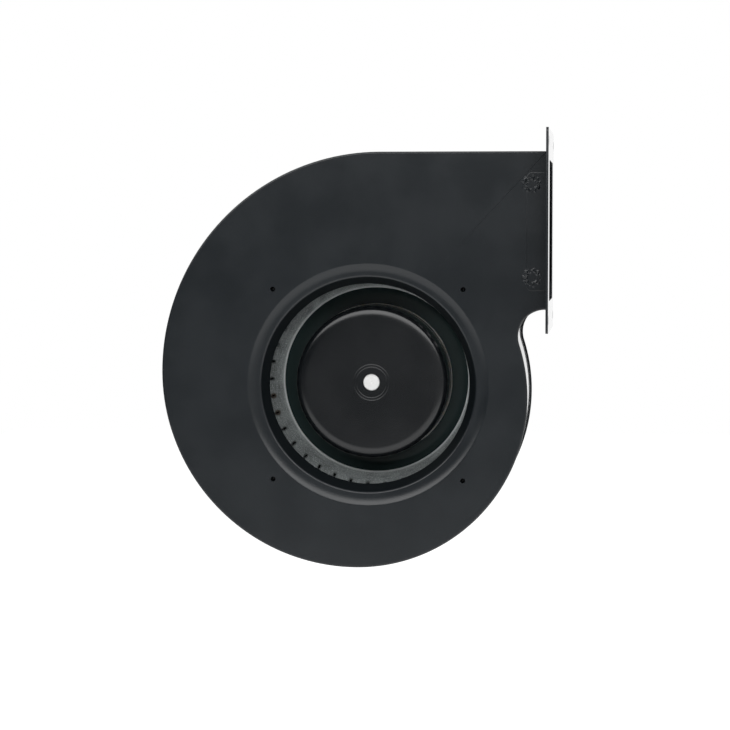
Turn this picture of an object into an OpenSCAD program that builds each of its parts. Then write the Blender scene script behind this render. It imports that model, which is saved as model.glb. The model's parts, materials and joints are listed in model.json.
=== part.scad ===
// Single-inlet centrifugal blower with a brushless external-rotor motor.
// +Z is up, +X points out of the outlet and the inlet faces -Y. The origin is on the motor
// axis, at the outer face of the front side plate. Lengths are in millimetres.

/* [Scroll housing] */
// Gap from the impeller's edge to the volute radius of the smallest quarter turn
scroll_gap = 22.8; // [22:0.1:32]
// Growth of the volute radius from one quarter turn to the next
scroll_step = 14.5; // [13.5:0.1:18]
// Depth over both side plates
housing_depth = 80; // [79:0.5:100]
// Thickness of a side plate
plate_t = 1.2; // [0.8:0.1:2]
// Thickness of the scroll band
band_t = 1; // [0.6:0.1:1.5]
// How far the side plates stand proud of the band
rim_lip = 1; // [0.5:0.1:1.5]
// Width of the band's turned-in edges
band_hem_w = 3; // [2:0.1:4]
// Height of the outlet duct, over the side plates
duct_h = 93.85; // [85:0.05:96]
// Radius of the curve under the tongue
tongue_r = 16; // [13:0.5:18]
// Straight run from the tongue to the outlet flange
duct_run = 0.7; // [0.5:0.1:30]

/* [Inlet nozzle] */
// Gap from the throat's sheet to the impeller's eye
throat_gap = 3.7; // [2.5:0.1:8]
// Depth of the throat's edge behind the front plate's face
nozzle_depth = 10.7; // [9.5:0.1:13]
// Radial width of the dish round the throat
dish_w = 13.1; // [12:0.1:15]
// Depth of the dish's outer step
dish_step = 2.6; // [1.5:0.1:3]
// Radial width of the dish's outer step
dish_step_w = 3.5; // [2.5:0.1:4.5]
// Radial width of the roll that leads in to the throat
roll_w = 5.1; // [4:0.1:6.5]
// Depth of the dish where it rolls in
roll_depth = 3.8; // [3.2:0.1:4.5]
// Distance of the guard screw holes from the edge of the dish
guard_hole_gap = 7.25; // [4:0.05:9]
// Diameter of a guard screw hole
guard_hole_d = 3; // [2.5:0.1:4]

/* [Outlet flange] */
// Thickness of the flange
flange_t = 1.5; // [1:0.1:2.5]
// How far the flange stands out above and below the duct
flange_rise = 13.5; // [13:0.5:25]
// How far the flange stands out in front of and behind the housing
flange_side = 20.5; // [15:0.5:30]
// How far the flange covers the duct's top and bottom walls inside
flange_lip = 3; // [1:0.5:6]
// Distance of the mounting holes from the flange's edges
flange_hole_edge = 7.5; // [5:0.5:9]
// Diameter of a mounting hole
flange_hole_d = 5.5; // [4:0.1:7]
// Length of the flange's inner tabs
tab_l = 12; // [8:0.5:16]
// Height of the flange's inner tabs
tab_h = 67; // [40:1:74]

/* [Impeller] */
// Outer radius of the impeller
impeller_r = 80; // [78:0.1:81]
// Radial width of the impeller's rings
ring_w = 14.7; // [12:0.1:17]
// Number of blades
blade_count = 38; // [30:1:42]
// Thickness of a blade
blade_t = 0.5; // [0.4:0.05:0.8]
// Radius of a blade's curve
blade_curve_r = 16; // [14:0.5:24]
// Thickness of the rings' sheet
ring_t = 0.6; // [0.4:0.05:1]
// Depth of the rings' channel
ring_depth = 2.5; // [1.5:0.1:4]
// How far the throat reaches into the front ring
throat_overlap = 2.7; // [1:0.1:3.5]
// Gap from the impeller to the rear side plate
rear_gap = 7.3; // [5:0.1:8]
// Thickness of the support disc
disc_t = 1.2; // [0.8:0.1:2]
// How far the support disc lies over the rotor's brim
disc_lap = 5; // [3:0.5:9]
// Width of a balance clip
clip_w = 6; // [4:0.5:9]

/* [Motor mounting] */
// Gap from the impeller to the edge of the rear plate's opening
opening_gap = 3; // [2:0.1:4]
// Thickness of the motor plate
motor_plate_t = 2; // [1.5:0.1:3]
// Width of the motor plate's rim round the opening
motor_plate_rim = 9; // [9:0.1:9.6]
// Height of the motor plate's stiffening bead
bead_h = 3; // [1:0.1:5]
// Inner radius of the bead
bead_in_r = 48; // [44:0.5:52]
// Distance of the bead from the edge of the rear plate's opening
bead_edge = 7; // [5:0.5:12]
// Radial width of the bead's flanks
bead_flank = 4; // [3:0.5:6]
// Number of plate screws
plate_screws_n = 6; // [4:2:6]
// Number of motor screws
motor_screws_n = 4; // [3:1:6]
// Radial width of the seat that the motor screws go into
seat_w = 9; // [8:0.5:10]
// Radius of a screw's shank
screw_r = 2; // [1.5:0.1:2.2]
// Across-corners radius of a screw's hexagon
hex_r = 3.8; // [3.4:0.1:4]
// Height of a screw's hexagon
hex_h = 2.4; // [2:0.1:3.5]
// Radius of a screw's washer face
washer_r = 4.3; // [4.1:0.1:4.4]
// Thickness of a screw's washer face
washer_t = 0.8; // [0.5:0.1:1.2]
// Outer radius of a clinch nut
nut_r = 3.5; // [3:0.1:3.6]
// Height of a clinch nut
nut_h = 3.2; // [2.5:0.1:4]
// Radius of the cable's hole in the grommet
cable_r = 2.5; // [2:0.1:2.8]

/* [Rotor] */
// Outer radius of the rotor can
rotor_r = 46.3; // [45.8:0.1:47]
// Radius of the rotor can's rounded edge
rotor_corner_r = 7; // [4:0.1:8]
// Thickness of the rotor can's wall
rotor_t = 1.5; // [1.2:0.1:1.8]
// How far the rotor can reaches past its magnets
magnet_cover = 3.2; // [2.7:0.1:4]
// Gap from the rotor's brim to the impeller's eye
brim_gap = 3.3; // [1:0.1:6]
// Radius of the curve between the can and its brim
brim_curve_r = 2.5; // [2:0.1:3]
// Radius of the shaft
shaft_r = 5; // [4.8:0.1:5.2]
// How far the shaft's end stands proud of the rotor's face
shaft_proud = 0.5; // [0.2:0.1:1]
// Length of the collar that holds the shaft
collar_len = 10; // [9.5:0.1:10.5]
// Wall of the collar that holds the shaft
collar_t = 2; // [1.5:0.1:2]
// Number of magnets
magnet_count = 8; // [4:2:12]
// Thickness of the magnets
magnet_t = 3.6; // [3:0.1:3.8]
// Length of the magnets
magnet_len = 20; // [18:0.5:20.5]

/* [Stator] */
// Gap from the magnets to the lamination stack
air_gap = 0.79; // [0.5:0.01:1.2]
// Length of the lamination stack
stack_len = 18; // [16:0.5:18]
// Number of teeth
tooth_count = 12; // [9:3:12]
// Width of a tooth
tooth_w = 4.5; // [3.5:0.1:5]
// Radial thickness of the stack's yoke
yoke_t = 6.4; // [5:0.1:7]
// Radial thickness of a tooth's shoe
shoe_t = 2.5; // [2:0.1:3]
// Width of the opening between two shoes
slot_gap = 2.6; // [2:0.1:3.5]
// Thickness of the insulators
insulator_t = 1; // [0.6:0.1:1.2]
// Thickness of the windings round a tooth
coil_t = 2.8; // [2:0.1:3]
// Thickness of the circuit board
board_t = 1.6; // [1:0.1:1.6]
// Gap from the circuit board to the rotor can
board_gap = 2.8; // [1.8:0.1:4]

/* [Bearings] */
// Outer radius of a bearing
bearing_r = 13; // [12.8:0.1:13.2]
// Width of a bearing
bearing_w = 8; // [7.6:0.1:8]
// Radius of a ball
ball_r = 2.38; // [2.2:0.01:2.5]
// Number of balls in a bearing
ball_count = 7; // [6:1:8]
// Wall of the bearing tube
tube_t = 2.6; // [2.2:0.1:3]
// Thickness of the preload spring
spring_t = 1.2; // [0.8:0.1:1.5]

/* [Hidden] */
$fn = 96;

// Clearances
press_gap = 0.01;   // between a pressed piece and its seat
slide_gap = 0.1;    // between pieces that slide together on assembly
ball_gap = 0.04;    // between a ball and its raceways
pocket_gap = 0.25;  // between a ball and its pocket in the cage

// Impeller and what runs close to it
eye_r = impeller_r - ring_w;
brim_r = eye_r - brim_gap;
disc_in_r = brim_r - disc_lap;
throat_r = eye_r - throat_gap - plate_t;
roll_r = throat_r + roll_w;
dish_r = throat_r + dish_w;
dish_edge = 1;              // flat rim of the pressed dish, in the plate's own plane
guard_pitch = sqrt(2) * (dish_r + guard_hole_gap);

// Scroll: four tangent quarter turns round a square of side scroll_step
scroll_r = impeller_r + scroll_gap;
half_step = scroll_step / 2;
arc_a_c = [-half_step, -half_step];
arc_b_c = [-half_step, half_step];
arc_c_c = [half_step, half_step];
arc_b_r = scroll_r + scroll_step;
arc_c_r = arc_b_r + scroll_step;
duct_top = half_step + arc_c_r;
duct_bottom = duct_top - duct_h;
tongue_z = duct_bottom - tongue_r;
tongue_x = arc_a_c[0] + sqrt(pow(scroll_r + tongue_r, 2) - pow(tongue_z - arc_a_c[1], 2));
flange_x = tongue_x + duct_run;
inner_depth = housing_depth - 2 * plate_t;

// Outlet flange
flange_h = duct_h + 2 * flange_rise;
flange_w = housing_depth + 2 * flange_side;
wall_inset = rim_lip + band_t;
outlet_h = duct_h - 2 * (wall_inset + flange_lip);
outlet_w = inner_depth - 2 * flange_t;
flange_centre = [housing_depth / 2, duct_bottom + duct_h / 2];

// Impeller ends and blades
impeller_front = nozzle_depth - throat_overlap;
impeller_back = housing_depth - plate_t - rear_gap;
blade_in_r = eye_r + ring_t + slide_gap;
blade_out_r = impeller_r - ring_t - slide_gap;
blade_front = impeller_front + ring_t;
blade_back = impeller_back - ring_t;
opening_r = impeller_r + opening_gap;
motor_plate_r = opening_r + motor_plate_rim;
bead_out_r = opening_r - bead_edge;
plate_screw_pcr = opening_r + motor_plate_rim / 2;
plate_screw_start = 30;   // angle of the first plate screw
motor_screw_start = 45;   // angle of the first motor screw

// Motor, placed forwards from its seat on the motor plate
seat_y = housing_depth;
motor_back_y = seat_y + motor_plate_t;
stator_depth = 16.5;      // from the seat to the front of the stator flange's disc
stator_disc_t = 2.5;
stator_disc_y = seat_y - stator_depth;
spacer_h = 3.4;
spacer_r = 2.5;
spacer_pin_r = 1.6;
board_y = stator_disc_y - spacer_h - board_t;
board_back_y = board_y + board_t;
winding_gap = 1.7;        // from the windings to the board
stack_y = board_y - winding_gap - coil_t - insulator_t - stack_len;
tube_proud = 0.8;         // how far the bearing tube stands out of the stack
tube_front_y = stack_y - tube_proud;
bearing_inset = 0.3;      // how far the front bearing sits inside the tube
front_bearing_y = tube_front_y + bearing_inset;
spring_y = front_bearing_y + bearing_w;
rotor_face_y = front_bearing_y - collar_len;
magnet_y = stack_y + (stack_len - magnet_len) / 2;
brim_y = magnet_y + magnet_len + magnet_cover;
disc_y = brim_y - disc_t;

rear_bearing_inset = 14;  // from the seat to the front of the rear bearing
rear_bearing_y = seat_y - rear_bearing_inset;
circlip_y = rear_bearing_y + bearing_w;
circlip_t = 1;
circlip_w = 2;
circlip_gap = 3;          // width of the clip's opening
groove_depth = 0.5;
groove_r = shaft_r - groove_depth;
shaft_tail = 2.5;         // from the circlip to the shaft's end
shaft_end_y = circlip_y + shaft_tail;
shaft_chamfer = 0.4;

rotor_in_r = rotor_r - rotor_t;
magnet_out_r = rotor_in_r - press_gap;
magnet_in_r = magnet_out_r - magnet_t;
stack_r = magnet_in_r - air_gap;
tube_r = bearing_r + tube_t;
shoulder_w = 2;           // radial width of the shoulder between the bearings
yoke_r = tube_r + yoke_t;
shoe_in_r = stack_r - shoe_t;
coil_in_r = yoke_r + 0.8;
coil_out_r = shoe_in_r - 0.6;
disc_gap = 1.3;           // from the stator flange's disc to the rotor can
stator_disc_r = rotor_in_r - disc_gap;

board_r = rotor_in_r - board_gap;
board_in_r = tube_r + 1;
spacer_pcr = board_r - 4;
sensor_pcr = board_r - 3;
connector_pcr = board_r - 6;
transistor_pcr = (board_in_r + board_r) / 2;
small_part_pcr = board_in_r + 5.6;
transistor_w = 6.5;
transistor_l = 6;
transistor_h = 1.9;
chip_w = 5;
chip_l = 7;
chip_h = 1.2;
capacitor_w = 4;
capacitor_l = 3.2;
capacitor_h = 2.3;
sensor_w = 2;
sensor_l = 4;
sensor_h = 2.4;
connector_w = 5;
connector_l = 10;
connector_h = 2.3;

// Cable's way out between the spigot and the seat that the motor screws go into
grommet_lip = 1.2;
grommet_wall = 1.3;
grommet_gap = 0.25;
grommet_r = cable_r + grommet_wall + grommet_lip;
grommet_front = 1;        // height of the grommet's front lip
grommet_back = 2.5;       // height of the grommet's back lip
spigot_t = 5;
spigot_r = bearing_r + spigot_t;
grommet_pcr = spigot_r + grommet_gap + grommet_r;
seat_in_r = grommet_pcr + grommet_r + grommet_gap;
seat_out_r = seat_in_r + seat_w;
motor_screw_pcr = seat_in_r + seat_w / 2;
motor_screw_len = 11;
cap_t = 3;

// Bearings
pitch_r = (shaft_r + bearing_r) / 2;
land = 1.8;               // from the balls' circle to either ring
shield_t = 0.3;
shield_inset = 0.2;
shield_gap = 0.2;
cage_half_w = 0.8;
cage_front = 1.2;         // from the balls' centres to the cage's open end
cage_back = 0.7;          // from the balls to the cage's closed end

// Points of an arc about c from angle a0 to a1
function arc(c, r, a0, a1, n = 8) =
  [for (i = [0:n]) let (a = a0 + (a1 - a0) * i / n) c + r * [cos(a), sin(a)]];
// Points of a smooth step between a and b, flat along the first axis at both ends
function smooth_step(a, b, n = 8) =
  [for (i = [0:n]) let (s = i / n) [a[0] + (b[0] - a[0]) * s, a[1] + (b[1] - a[1]) * (1 - cos(180 * s)) / 2]];
function side_at(p, i) =
  let (d = p[min(i + 1, len(p) - 1)] - p[max(i - 1, 0)]) [d[1], -d[0]] / norm(d);
// Closed profile of a sheet of thickness t whose one face follows the points p
function sheet(p, t) = concat(p, [for (i = [len(p) - 1:-1:0]) p[i] + t * side_at(p, i)]);
// Front face of the nozzle from the flat plate in to the throat's edge
function nozzle_face() = concat(
  [[dish_r + dish_edge, 0]],
  smooth_step([dish_r, 0], [dish_r - dish_step_w, dish_step]),
  [for (i = [0:10]) let (a = 9 * i)
    [throat_r + (roll_r - throat_r) * (1 - sin(a)), roll_depth + (nozzle_depth - roll_depth) * (1 - cos(a))]]
);

// A flat piece: a drawing in X and Z given a thickness t behind y
module flat(y, t) {
  translate([0, y + t, 0]) rotate([90, 0, 0]) linear_extrude(t) children();
}
// A turned piece: a profile in radius and Y revolved round the motor axis
module turned() {
  rotate([-90, 0, 0]) rotate_extrude() children();
}
// A round bar or bore along Y
module rod(r, y, h, x = 0, z = 0) {
  translate([x, y, z]) rotate([-90, 0, 0]) cylinder(r = r, h = h);
}
module hex_rod(r, y, h, x = 0, z = 0) {
  translate([x, y, z]) rotate([-90, 0, 0]) cylinder(r = r, h = h, $fn = 6);
}
module tube(r_out, r_in, y, h) {
  difference() {
    rod(r_out, y, h);
    rod(r_in, y - 1, h + 2);
  }
}
// Copies spaced evenly round the motor axis, the first at the angle start
module around(n, start = 0) {
  for (i = [0:n - 1]) rotate([0, -start - 360 * i / n, 0]) children();
}

// Scroll outline, drawn in from the side plates' rim by inset
module sector(c, r, a0, a1) {
  intersection() {
    translate(c) circle(r = r);
    polygon(concat([c], arc(c, 2 * r, a0, a1, 4)));
  }
}
module scroll_outline(inset = 0) {
  difference() {
    union() {
      sector(arc_c_c, arc_c_r - inset, 60, 180);
      sector(arc_b_c, arc_b_r - inset, 150, 270);
      sector(arc_a_c, scroll_r - inset, 240, 420);
      polygon([
        arc_a_c, [tongue_x, tongue_z],
        [tongue_x, duct_bottom + inset], [flange_x, duct_bottom + inset],
        [flange_x, duct_top - inset], [arc_c_c[0], duct_top - inset],
        arc_c_c, arc_b_c
      ]);
    }
    translate([tongue_x, tongue_z]) circle(r = tongue_r + inset);
  }
}

module front_side_plate() color("#2c3033") {
  difference() {
    flat(0, plate_t) scroll_outline();
    rod(dish_r + dish_edge, -1, plate_t + 2);
    for (x = [-1, 1], z = [-1, 1])
      rod(guard_hole_d / 2, -1, plate_t + 2, x * guard_pitch / 2, z * guard_pitch / 2);
  }
  turned() polygon(sheet(nozzle_face(), plate_t));
}

module rear_side_plate() color("#2c3033") difference() {
  flat(housing_depth - plate_t, plate_t) scroll_outline();
  rod(opening_r, housing_depth - plate_t - 1, plate_t + 2);
  around(plate_screws_n, plate_screw_start)
    rod(screw_r + slide_gap, housing_depth - plate_t - 1, plate_t + 2, plate_screw_pcr);
}

module scroll_band() color("#26292c") difference() {
  flat(plate_t, inner_depth) scroll_outline(rim_lip);
  flat(plate_t + band_t, inner_depth - 2 * band_t) scroll_outline(wall_inset);
  flat(plate_t - 1, inner_depth + 2) scroll_outline(rim_lip + band_hem_w);
  // the duct stays open towards the flange, and the turned-in edges stop short of its tabs
  for (y = [plate_t - 1, housing_depth - plate_t - band_t])
    translate([flange_x - tab_l - 1, y, duct_bottom + wall_inset])
      cube([tab_l + 2, band_t + 1, duct_h - 2 * wall_inset]);
}

module flange_tab(y) {
  translate([flange_x - tab_l, y, flange_centre[1] - tab_h / 2])
    cube([tab_l + flange_t / 2, flange_t, tab_h]);
}
module outlet_flange() color("#2a2d30") {
  difference() {
    translate([flange_x, -flange_side, flange_centre[1] - flange_h / 2])
      cube([flange_t, flange_w, flange_h]);
    translate([flange_x - 1, flange_centre[0] - outlet_w / 2, flange_centre[1] - outlet_h / 2])
      cube([flange_t + 2, outlet_w, outlet_h]);
    for (y = [-1, 1], z = [-1, 1])
      translate([
        flange_x - 1,
        flange_centre[0] + y * (flange_w / 2 - flange_hole_edge),
        flange_centre[1] + z * (flange_h / 2 - flange_hole_edge)
      ]) rotate([0, 90, 0]) cylinder(r = flange_hole_d / 2, h = flange_t + 2);
  }
  flange_tab(plate_t);
  flange_tab(housing_depth - plate_t - flange_t);
}

module motor_mount_plate() color("#2c3033") difference() {
  turned() polygon(sheet(concat(
    [[motor_plate_r, seat_y]],
    smooth_step([bead_out_r, seat_y], [bead_out_r - bead_flank, seat_y + bead_h]),
    smooth_step([bead_in_r + bead_flank, seat_y + bead_h], [bead_in_r, seat_y]),
    [[spigot_r + slide_gap, seat_y]]
  ), motor_plate_t));
  around(plate_screws_n, plate_screw_start)
    rod(screw_r + slide_gap, seat_y - 1, motor_plate_t + 2, plate_screw_pcr);
  around(motor_screws_n, motor_screw_start)
    rod(screw_r + slide_gap, seat_y - 1, motor_plate_t + 2, motor_screw_pcr);
  rod(cable_r + grommet_wall, seat_y - 1, motor_plate_t + 2, 0, -grommet_pcr);
}

// Hexagon screw whose washer face seats at y, with its shank towards -Y
module screw(y, len, x) {
  rod(washer_r, y, washer_t, x);
  hex_rod(hex_r, y + washer_t, hex_h, x);
  rod(screw_r - press_gap, y - len, len, x);
}
module plate_screws() color("#a8abad") around(plate_screws_n, plate_screw_start)
  screw(motor_back_y, motor_plate_t + plate_t + nut_h, plate_screw_pcr);
module motor_screws() color("#a8abad") around(motor_screws_n, motor_screw_start)
  screw(motor_back_y, motor_screw_len, motor_screw_pcr);

module clinch_nuts() color("#a8abad") around(plate_screws_n, plate_screw_start) difference() {
  rod(nut_r, housing_depth - plate_t - nut_h, nut_h, plate_screw_pcr);
  rod(screw_r, housing_depth - plate_t - nut_h - 1, nut_h + 2, plate_screw_pcr);
}

module cable_grommet() color("#1c1c1c") translate([0, 0, -grommet_pcr]) {
  neck_r = cable_r + grommet_wall - press_gap;
  turned() polygon([
    [cable_r, seat_y - grommet_front],
    [neck_r + grommet_lip, seat_y - grommet_front],
    [neck_r + grommet_lip, seat_y],
    [neck_r, seat_y],
    [neck_r, motor_back_y],
    [neck_r + grommet_lip, motor_back_y],
    [neck_r + grommet_lip / 2, motor_back_y + grommet_back],
    [cable_r, motor_back_y + grommet_back]
  ]);
}

module bearing_cap() color("#1c1c1c")
  rod(bearing_r - press_gap, motor_back_y - cap_t, cap_t);

module stator_flange() color("#b4b8ba") {
  disc_back_y = stator_disc_y + stator_disc_t;
  shoulder_r = bearing_r - shoulder_w;
  difference() {
    turned() polygon([
      [bearing_r, tube_front_y],
      [tube_r, tube_front_y],
      [tube_r, stator_disc_y],
      [stator_disc_r, stator_disc_y],
      [stator_disc_r, disc_back_y],
      [seat_out_r, disc_back_y],
      [seat_out_r, seat_y],
      [seat_in_r, seat_y],
      [seat_in_r, disc_back_y],
      [spigot_r, disc_back_y],
      [spigot_r, motor_back_y],
      [bearing_r, motor_back_y],
      [bearing_r, rear_bearing_y],
      [shoulder_r, rear_bearing_y],
      [shoulder_r, spring_y + spring_t],
      [bearing_r, spring_y + spring_t]
    ]);
    around(motor_screws_n, motor_screw_start)
      rod(screw_r, motor_back_y - motor_screw_len, motor_screw_len, motor_screw_pcr);
    rod(cable_r + 1, stator_disc_y - 1, stator_disc_t + 2, 0, -grommet_pcr);
  }
}

// Star of teeth, with or without the shoes that face the magnets
module star(r_out, shoes) {
  difference() {
    union() {
      circle(r = yoke_r);
      for (i = [0:tooth_count - 1]) rotate(360 * i / tooth_count)
        translate([tube_r + 1, -tooth_w / 2]) square([r_out - tube_r - 1 - shoe_t / 2, tooth_w]);
      if (shoes) difference() {
        circle(r = r_out);
        circle(r = r_out - shoe_t);
        for (i = [0:tooth_count - 1]) rotate(360 * (i + 0.5) / tooth_count)
          translate([0, -slot_gap / 2]) square([r_out + 1, slot_gap]);
      }
    }
    circle(r = tube_r + press_gap);
  }
}
module stator_stack() color("#6d7072") flat(stack_y, stack_len) star(stack_r, true);
module front_insulator() color("#d9d4c4") flat(stack_y - insulator_t, insulator_t) star(shoe_in_r, false);
module rear_insulator() color("#d9d4c4") flat(stack_y + stack_len, insulator_t) star(shoe_in_r, false);

module stator_windings() color("#b4642c") around(tooth_count) {
  core_w = tooth_w + 2 * slide_gap;
  core_y = stack_y - insulator_t;
  core_l = stack_len + 2 * insulator_t;
  half_w = core_w / 2 + coil_t;
  // near the shaft the coils narrow, so that neighbours stay clear of each other
  room_in = coil_in_r * tan(180 / tooth_count) - slide_gap;
  room_out = coil_out_r * tan(180 / tooth_count) - slide_gap;
  w_in = min(half_w, room_in);
  w_out = min(half_w, room_out);
  difference() {
    flat(core_y - coil_t, core_l + 2 * coil_t)
      polygon([[coil_in_r, -w_in], [coil_out_r, -w_out], [coil_out_r, w_out], [coil_in_r, w_in]]);
    translate([coil_in_r - 1, core_y, -core_w / 2])
      cube([coil_out_r - coil_in_r + 2, core_l, core_w]);
  }
}

module circuit_board() color("#1d5a38") difference() {
  tube(board_r, board_in_r, board_y, board_t);
  around(3, 90) rod(spacer_pin_r, board_y - 1, board_t + 2, spacer_pcr);
}
module board_spacers() color("#d9d4c4") around(3, 90) {
  rod(spacer_r, board_back_y, spacer_h, spacer_pcr);
  rod(spacer_pin_r - press_gap, board_y, board_t, spacer_pcr);
}
// A box-shaped part on the board at radius x, w wide, l long and h high
module board_part(x, w, l, h, y = board_back_y) {
  translate([x - w / 2, y, -l / 2]) cube([w, h, l]);
}
module power_transistors() color("#1a1a1c") around(6)
  board_part(transistor_pcr, transistor_w, transistor_l, transistor_h);
module controller_chip() color("#1a1a1c") around(1, 90)
  board_part(small_part_pcr, chip_w, chip_l, chip_h);
module board_capacitors() color("#c9a066") around(4, 36)
  board_part(small_part_pcr, capacitor_w, capacitor_l, capacitor_h);
module hall_sensors() color("#1a1a1c") around(3, 75)
  board_part(sensor_pcr, sensor_w, sensor_l, sensor_h, board_y - sensor_h);
module lead_connector() color("#e6e2d6") around(1, -90)
  board_part(connector_pcr, connector_w, connector_l, connector_h);

// Ball bearing, seated at y
module outer_ring(y) color("#8f9396") turned() difference() {
  translate([pitch_r + land, y]) square([bearing_r - press_gap - pitch_r - land, bearing_w]);
  translate([pitch_r, y + bearing_w / 2]) circle(r = ball_r + ball_gap);
}
module inner_ring(y) color("#8f9396") turned() difference() {
  translate([shaft_r + press_gap, y]) square([pitch_r - land - shaft_r - press_gap, bearing_w]);
  translate([pitch_r, y + bearing_w / 2]) circle(r = ball_r + ball_gap);
}
module balls(y) color("#c8ccd0") around(ball_count)
  translate([pitch_r, y + bearing_w / 2, 0]) sphere(r = ball_r);
// Comb-shaped cage, whose pockets are open towards the rotor's face
module cage(y) color("#5a4a38") difference() {
  ball_y = y + bearing_w / 2;
  pocket_r = ball_r + pocket_gap;
  tube(pitch_r + cage_half_w, pitch_r - cage_half_w, ball_y - cage_front, cage_front + ball_r + cage_back);
  around(ball_count) translate([pitch_r - land, ball_y - cage_front - 1, -pocket_r])
    cube([2 * land, cage_front + 1 + pocket_r, 2 * pocket_r]);
}
module shields(y) color("#77797b")
  for (s = [shield_inset, bearing_w - shield_inset - shield_t])
    tube(pitch_r + land - press_gap, pitch_r - land + shield_gap, y + s, shield_t);

module front_bearing_outer_ring() outer_ring(front_bearing_y);
module rear_bearing_outer_ring() outer_ring(rear_bearing_y);
module front_bearing_inner_ring() inner_ring(front_bearing_y);
module rear_bearing_inner_ring() inner_ring(rear_bearing_y);
module front_bearing_balls() balls(front_bearing_y);
module rear_bearing_balls() balls(rear_bearing_y);
module front_bearing_cage() cage(front_bearing_y);
module rear_bearing_cage() cage(rear_bearing_y);
module front_bearing_shields() shields(front_bearing_y);
module rear_bearing_shields() shields(rear_bearing_y);

module preload_spring() color("#9a9da0")
  tube(bearing_r - slide_gap, bearing_r - shoulder_w, spring_y, spring_t);

module shaft() color("#d5d6d6") turned() polygon([
  [0, rotor_face_y - shaft_proud],
  [shaft_r - shaft_chamfer, rotor_face_y - shaft_proud],
  [shaft_r, rotor_face_y - shaft_proud + shaft_chamfer],
  [shaft_r, circlip_y],
  [groove_r, circlip_y],
  [groove_r, circlip_y + circlip_t],
  [shaft_r, circlip_y + circlip_t],
  [shaft_r, shaft_end_y - shaft_chamfer],
  [shaft_r - shaft_chamfer, shaft_end_y],
  [0, shaft_end_y]
]);
module shaft_circlip() color("#4a4c4e") difference() {
  tube(shaft_r + circlip_w, groove_r + press_gap, circlip_y, circlip_t);
  translate([0, circlip_y - 1, -circlip_gap / 2]) cube([shaft_r + 2 * circlip_w, circlip_t + 2, circlip_gap]);
}

module rotor_can() color("#242628") {
  turned() polygon(sheet(concat(
    [[shaft_r + press_gap, rotor_face_y]],
    arc([rotor_r - rotor_corner_r, rotor_face_y + rotor_corner_r], rotor_corner_r, -90, 0),
    arc([rotor_r + brim_curve_r, brim_y - brim_curve_r], brim_curve_r, 180, 90),
    [[brim_r, brim_y]]
  ), -rotor_t));
  tube(shaft_r + press_gap + collar_t, shaft_r + press_gap, rotor_face_y, collar_len);
}
module rotor_magnets() color("#3c3e42") around(magnet_count) intersection() {
  tube(magnet_out_r, magnet_in_r, magnet_y, magnet_len);
  rotate([0, 90 / magnet_count, 0]) wedge(180 / magnet_count - 0.6);
}
// Slice of the space round the motor axis, a either side of +X
module wedge(a) {
  translate([0, magnet_y - 1, 0]) rotate([-90, 0, 0]) linear_extrude(magnet_len + 2)
    polygon([[0, 0], 2 * rotor_r * [cos(a), -sin(a)], 2 * rotor_r * [1, 0], 2 * rotor_r * [cos(a), sin(a)]]);
}

// Outline of one blade, grown by gap: its inner end is radial and its tip leans clockwise
module blade_outline(gap = 0) {
  intersection() {
    translate([blade_in_r, -blade_curve_r]) difference() {
      circle(r = blade_curve_r + blade_t / 2 + gap);
      circle(r = blade_curve_r - blade_t / 2 - gap);
    }
    difference() {
      circle(r = blade_out_r + gap);
      circle(r = blade_in_r - gap);
    }
    translate([blade_in_r - 2, -blade_curve_r]) square([blade_out_r - blade_in_r + 4, blade_curve_r + 2]);
  }
}
module impeller_blades() color("#8d9292") around(blade_count)
  flat(blade_front, blade_back - blade_front) blade_outline();
module support_disc() color("#8d9292") difference() {
  tube(impeller_r, disc_in_r, disc_y, disc_t);
  around(blade_count) flat(disc_y - 1, disc_t + 2) blade_outline(slide_gap);
}
// Channel that holds the blades' ends, its web at y and its lips running to y + depth
module channel(y, depth) {
  back = y + (depth > 0 ? ring_t : -ring_t);
  turned() polygon([
    [eye_r, y], [impeller_r, y], [impeller_r, y + depth],
    [impeller_r - ring_t, y + depth], [impeller_r - ring_t, back],
    [eye_r + ring_t, back], [eye_r + ring_t, y + depth], [eye_r, y + depth]
  ]);
}
module impeller_front_ring() color("#8d9292") channel(impeller_front, ring_depth);
module impeller_rear_ring() color("#8d9292") channel(impeller_back, -ring_depth);
module balance_clips() color("#b9bcbd") for (a = [35, 205]) rotate([0, a, 0]) {
  translate([eye_r - ring_t - 0.2, impeller_back - ring_depth, -clip_w / 2])
    cube([ring_t, ring_depth + ring_t, clip_w]);
  translate([eye_r - ring_t - 0.2, impeller_back, -clip_w / 2]) cube([4 * ring_t, ring_t, clip_w]);
}

front_side_plate();
rear_side_plate();
scroll_band();
outlet_flange();
motor_mount_plate();
plate_screws();
clinch_nuts();
motor_screws();
cable_grommet();
bearing_cap();
stator_flange();
stator_stack();
front_insulator();
rear_insulator();
stator_windings();
circuit_board();
board_spacers();
power_transistors();
controller_chip();
board_capacitors();
hall_sensors();
lead_connector();
preload_spring();
front_bearing_outer_ring();
rear_bearing_outer_ring();
front_bearing_shields();
rear_bearing_shields();
shaft();
rotor_can();
rotor_magnets();
shaft_circlip();
front_bearing_inner_ring();
rear_bearing_inner_ring();
support_disc();
impeller_front_ring();
impeller_rear_ring();
impeller_blades();
balance_clips();
front_bearing_balls();
rear_bearing_balls();
front_bearing_cage();
rear_bearing_cage();
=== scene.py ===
# Centrifugal blower: pressed sheet-steel scroll, riveted impeller and external-rotor motor,
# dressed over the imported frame. Lengths are in metres, and mm turns millimetres into them.
import json
import math
import bmesh
import bpy
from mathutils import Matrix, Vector, noise

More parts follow.
